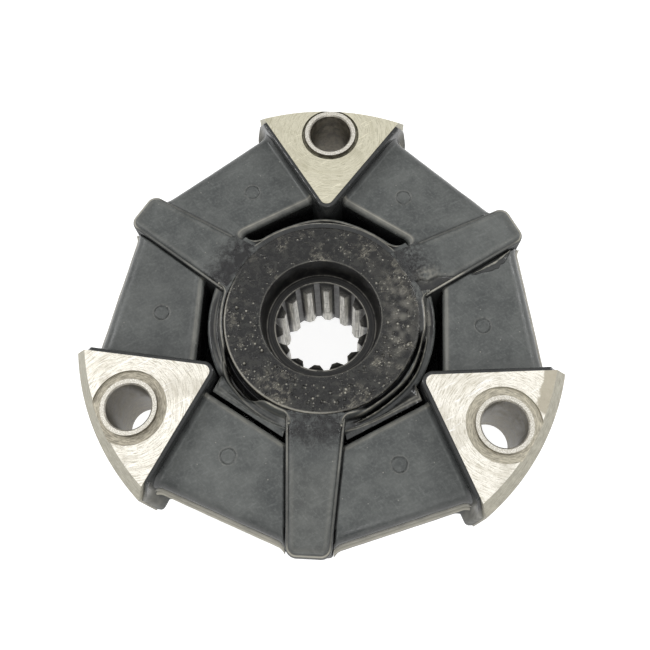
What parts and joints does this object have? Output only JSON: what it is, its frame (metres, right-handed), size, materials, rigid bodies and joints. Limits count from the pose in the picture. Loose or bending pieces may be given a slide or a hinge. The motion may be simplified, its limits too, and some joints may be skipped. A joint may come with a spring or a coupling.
{
  "type": "flexible rubber coupling",
  "caption": "Flexible shaft coupling: bolted metal flange inserts and a splined hub with radial arms, joined by bonded rubber blocks.",
  "frame": {"origin": "on the coupling axis, in the plane of the three sleeve ends that the flange seats on", "axes": "+Z along the coupling axis, out of the machined insert faces; one insert points along +Y and one hub arm along -Y"},
  "size_m": [0.1654, 0.1622, 0.051],
  "materials": {
    "cast_aluminium": "as cast, top face milled",
    "sleeve_steel": "turned",
    "hub_steel": "black oxide, rough end face",
    "coupling_rubber": "moulded, slightly dusty"
  },
  "bodies": {
    "flange_side": {"flange_insert_1": "cast_aluminium", "flange_insert_2": "cast_aluminium", "flange_insert_3": "cast_aluminium", "insert_sleeve_1": "sleeve_steel", "insert_sleeve_2": "sleeve_steel", "insert_sleeve_3": "sleeve_steel", "insert_coat_1": "coupling_rubber", "insert_coat_2": "coupling_rubber", "insert_coat_3": "coupling_rubber", "rubber_block_1_left": "coupling_rubber", "rubber_block_1_right": "coupling_rubber", "rubber_block_2_left": "coupling_rubber", "rubber_block_2_right": "coupling_rubber", "rubber_block_3_left": "coupling_rubber", "rubber_block_3_right": "coupling_rubber"},
    "hub_side": {"splined_hub": "hub_steel", "arm_cover_1": "coupling_rubber", "arm_cover_2": "coupling_rubber", "arm_cover_3": "coupling_rubber", "hub_cover": "coupling_rubber"}
  },
  "joints": [
    {"name": "torsional_windup", "type": "hinge", "parent": "flange_side", "child": "hub_side", "pos_m": [0, 0, -0.025], "axis": [0, 0, 1], "range_deg": [-6, 6], "stiffness_Nm_per_rad": 3000, "deforming": ["rubber_block_1_left", "rubber_block_1_right", "rubber_block_2_left", "rubber_block_2_right", "rubber_block_3_left", "rubber_block_3_right"]}
  ]
}
